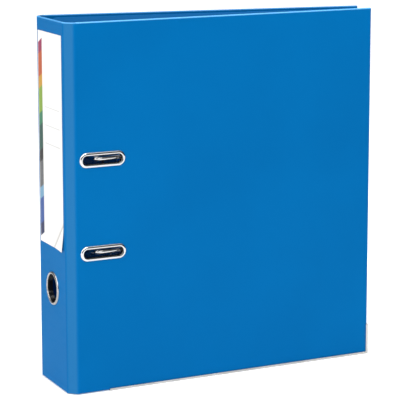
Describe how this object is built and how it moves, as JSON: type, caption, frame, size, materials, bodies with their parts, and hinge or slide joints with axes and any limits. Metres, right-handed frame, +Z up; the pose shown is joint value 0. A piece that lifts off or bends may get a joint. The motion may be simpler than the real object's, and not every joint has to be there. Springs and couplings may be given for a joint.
{
  "type": "lever arch file",
  "caption": "Upright lever arch file for office paper: foil-covered boards fold on creases, a lever opens wire arches over posts, and a sliding bar presses the paper.",
  "frame": {"origin": "middle of the footprint's bounding box, on the floor the file stands on", "axes": "+X along the back cover from the spine to the free edge, +Y from the front cover to the back cover, +Z up"},
  "size_m": [0.303, 0.0802, 0.318],
  "materials": {
    "foil_board": "solid grey board, pressed from paper, wrapped in blue polypropylene foil with a fine grain",
    "hinge_foil": "the same blue foil, creased",
    "label_paper": "matt white paper",
    "nickel": "nickel-plated steel",
    "chrome": "polished chrome plate on steel",
    "spring_steel": "blued spring steel",
    "roller_plastic": "black moulded plastic"
  },
  "bodies": {
    "back_cover": {"back_board": "foil_board", "back_edge_rail": "nickel", "base_plate": "nickel", "case_rivet_1": "nickel", "case_rivet_2": "nickel", "case_rivet_3": "nickel", "case_rivet_4": "nickel", "upper_post": "chrome", "lower_post": "chrome", "upper_bearing_clip": "nickel", "lower_bearing_clip": "nickel", "upper_lever_cheek": "nickel", "lower_lever_cheek": "nickel", "upper_cheek_rivet": "nickel", "lower_cheek_rivet": "nickel", "spring_leaf": "spring_steel", "spring_rivet": "nickel"},
    "back_hinge": {"back_hinge_foil": "hinge_foil"},
    "spine": {"spine_board": "foil_board", "spine_label": "label_paper", "finger_ring": "nickel", "finger_ring_washer": "nickel"},
    "front_hinge": {"front_hinge_foil": "hinge_foil"},
    "front_cover": {"front_board": "foil_board", "front_edge_rail": "nickel", "upper_slot_eyelet": "chrome", "lower_slot_eyelet": "chrome"},
    "arch": {"arch_bar": "chrome", "arch_tongue": "nickel"},
    "lever": {"lever": "chrome", "lever_pivot_pin": "nickel", "roller_pin": "nickel"},
    "roller": {"lever_roller": "roller_plastic"},
    "compressor": {"compressor_bar": "nickel"}
  },
  "joints": [
    {"name": "back_hinge_fold", "type": "hinge", "parent": "back_cover", "child": "back_hinge", "pos_m": [-0.1447, 0.03896, 0.162], "axis": [0, 0, -1], "range_deg": [0, 47.9]},
    {"name": "spine_fold", "type": "hinge", "parent": "back_hinge", "child": "spine", "pos_m": [-0.15127, 0.03169, 0.162], "axis": [0, 0, -1], "range_deg": [0, 47.9]},
    {"name": "front_hinge_fold", "type": "hinge", "parent": "spine", "child": "front_hinge", "pos_m": [-0.1446, -0.03397, 0.162], "axis": [0, 0, -1], "range_deg": [0, 47.25]},
    {"name": "front_cover_swing", "type": "hinge", "parent": "front_hinge", "child": "front_cover", "pos_m": [-0.13676, -0.03986, 0.162], "axis": [0, 0, -1], "range_deg": [0, 47.25]},
    {"name": "lever_lift", "type": "hinge", "parent": "back_cover", "child": "lever", "pos_m": [-0.1087, 0.01306, 0.162], "axis": [0, 0, 1], "range_deg": [0, 90]},
    {"name": "arch_swing", "type": "hinge", "parent": "back_cover", "child": "arch", "pos_m": [-0.12359, 0.02856, 0.162], "axis": [0, 0, -1], "range_deg": [0, 20]},
    {"name": "roller_spin", "type": "hinge", "parent": "lever", "child": "roller", "pos_m": [-0.1087, 0.02606, 0.162], "axis": [0, 0, 1], "continuous": true},
    {"name": "compressor_slide", "type": "slide", "parent": "back_cover", "child": "compressor", "axis": [0, -1, 0], "range_m": [0, 0.034]}
  ],
  "couplings": [
    {"joint": "spine_fold", "follows": "back_hinge_fold", "ratio": 1},
    {"joint": "front_hinge_fold", "follows": "back_hinge_fold", "ratio": 0.98643},
    {"joint": "front_cover_swing", "follows": "back_hinge_fold", "ratio": 0.98643},
    {"joint": "arch_swing", "follows": "lever_lift", "ratio": 0.22222}
  ]
}
